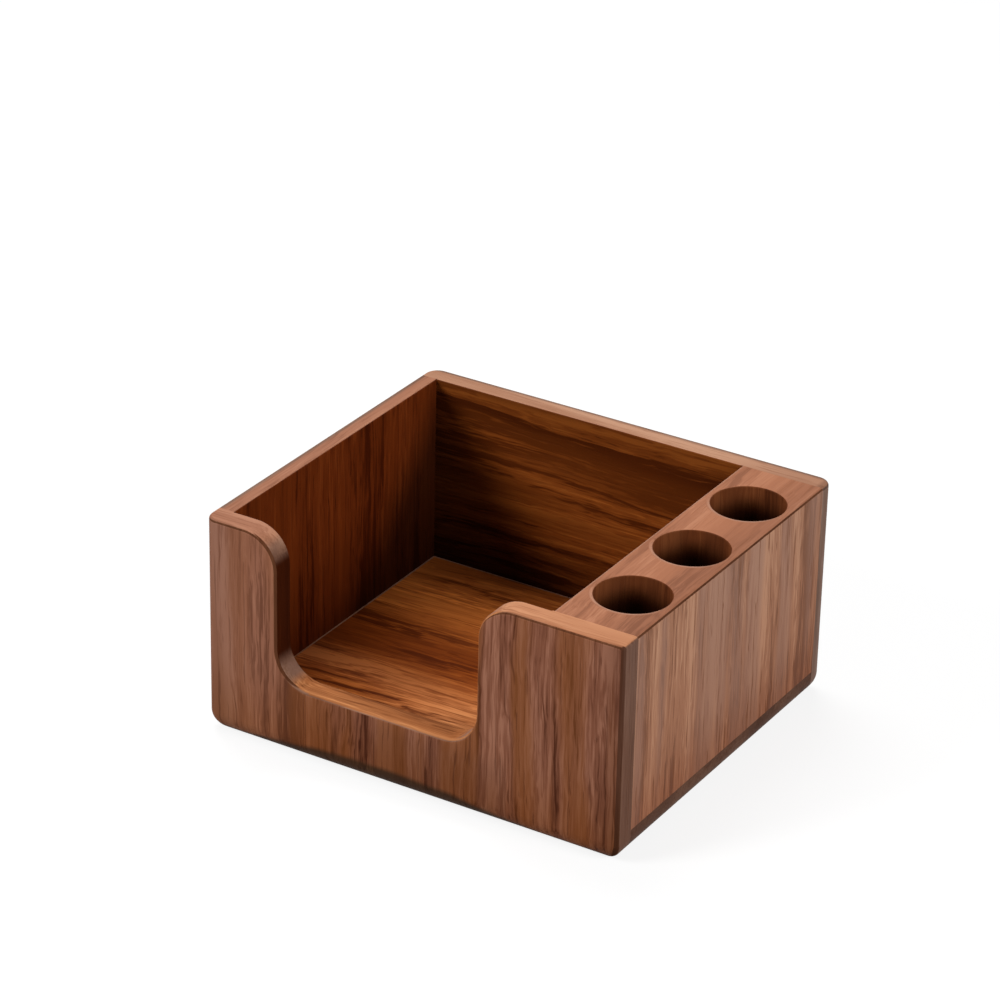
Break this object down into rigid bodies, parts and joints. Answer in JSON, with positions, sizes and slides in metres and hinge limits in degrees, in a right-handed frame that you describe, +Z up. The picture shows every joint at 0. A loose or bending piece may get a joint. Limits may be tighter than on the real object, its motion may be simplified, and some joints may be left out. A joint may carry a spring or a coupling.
{
  "type": "sticky note holder",
  "caption": "Open wooden desk tray for a pad of square sticky notes, with a rounded finger notch in the front panel and a solid side block bored to hold pens.",
  "frame": {"origin": "on the table, under the middle of the holder's footprint", "axes": "+X along the front to the right, towards the pen block; +Y from front to back; +Z up"},
  "size_m": [0.1, 0.088, 0.05],
  "materials": {
    "walnut": "satin oil on sanded walnut",
    "peg_wood": "raw turned wood, hidden in the joints"
  },
  "bodies": {
    "root": {"front_panel": "walnut", "back_panel": "walnut", "left_side_panel": "walnut", "pen_block": "walnut", "base_panel": "walnut", "pen_block_dowels": "peg_wood", "side_panel_pins": "peg_wood", "base_panel_pins": "peg_wood"}
  },
  "joints": []
}
